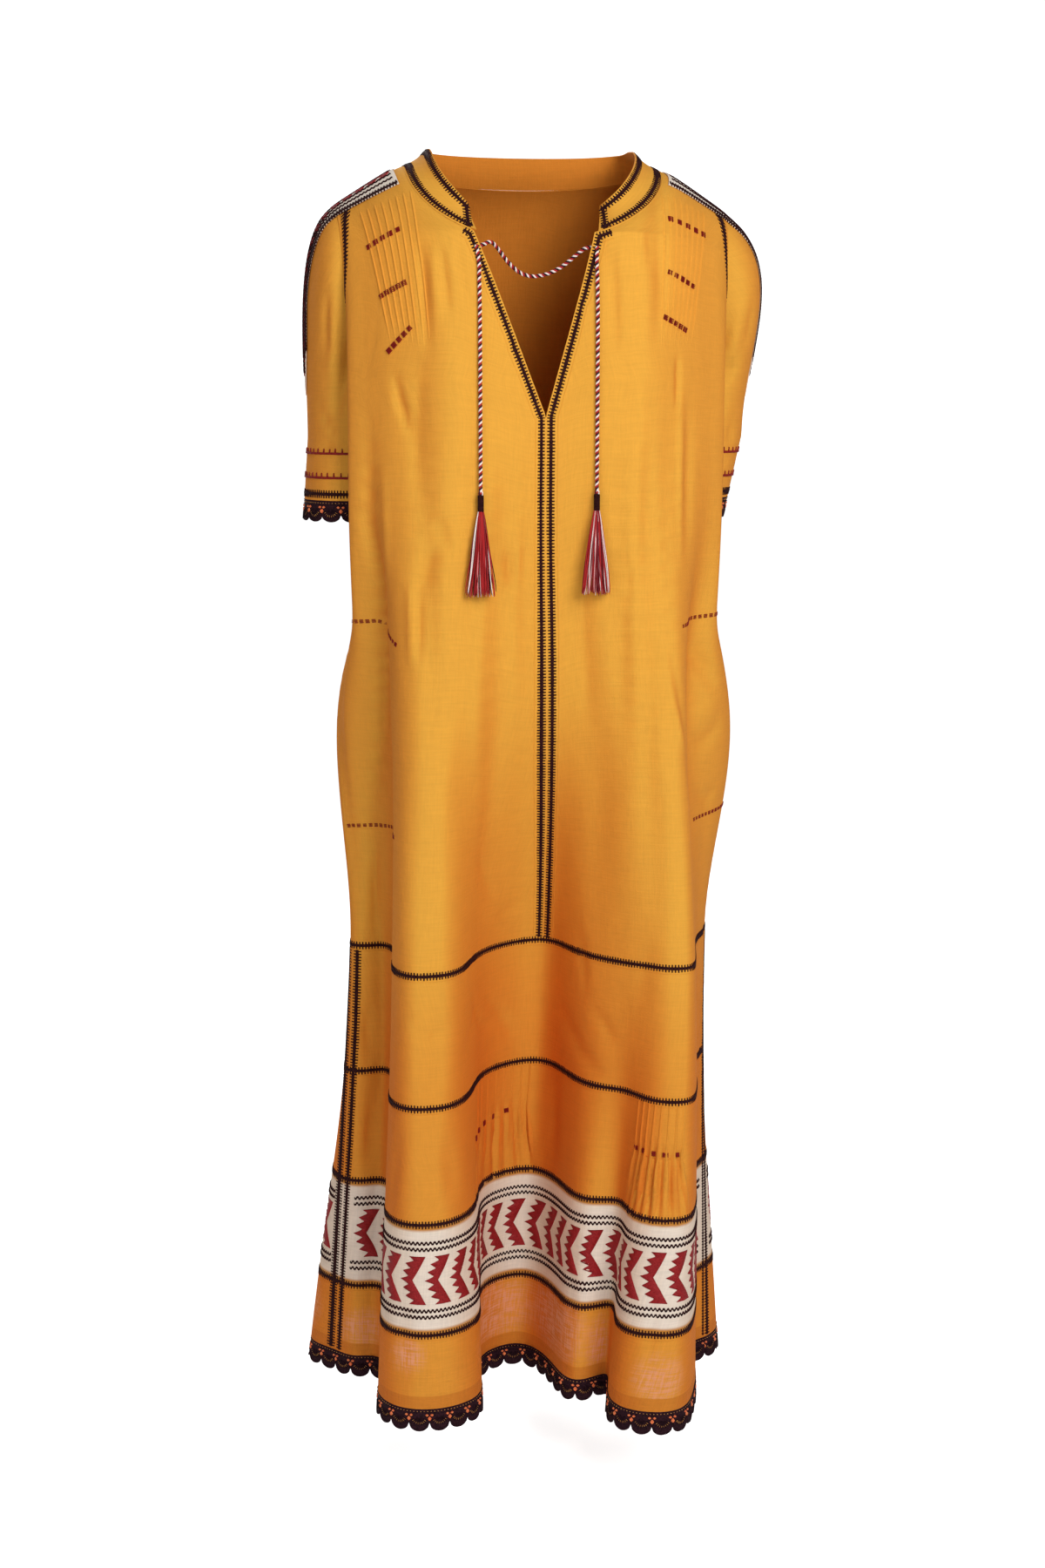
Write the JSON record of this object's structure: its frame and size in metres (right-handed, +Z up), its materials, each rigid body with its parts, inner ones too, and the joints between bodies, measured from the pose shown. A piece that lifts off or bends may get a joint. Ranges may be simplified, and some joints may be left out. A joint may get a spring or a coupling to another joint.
{
  "type": "midi dress",
  "caption": "Worn linen midi dress, hollow: stand collar with a slit neck and tasselled tie, short sleeves, banded skirt and scalloped lace hem.",
  "frame": {"origin": "midway between the shoulders, at the height where the collar meets the shoulder seams, which is where a wearer holds the dress up", "axes": "+Z up, -Y towards the front of the dress, +X to the right of someone who looks at the front"},
  "size_m": [0.4924, 0.3406, 1.3274],
  "materials": {
    "linen": "matt woven linen, ochre",
    "ecru": "matt woven linen, ecru",
    "lace": "dark cotton lace",
    "cord": "twisted cotton yarn, red, white and black"
  },
  "bodies": {
    "root": {"front_left": "linen", "front_right": "linen", "back": "linen", "tier_upper_front": "linen", "tier_upper_back": "linen", "tier_lower_front": "linen", "tier_lower_back": "linen", "ecru_band_front": "ecru", "ecru_band_back": "ecru", "hem_band_front": "linen", "hem_band_back": "linen", "hem_lace_front": "lace", "hem_lace_back": "lace", "collar": "linen", "sleeve_left": "linen", "sleeve_right": "linen", "cuff_lace_left": "lace", "cuff_lace_right": "lace", "shoulder_band_left": "ecru", "shoulder_band_right": "ecru", "tie_cord_left": "cord", "tie_cord_right": "cord", "tie_cord_across": "cord", "tassel_left": "cord", "tassel_right": "cord"}
  },
  "joints": []
}
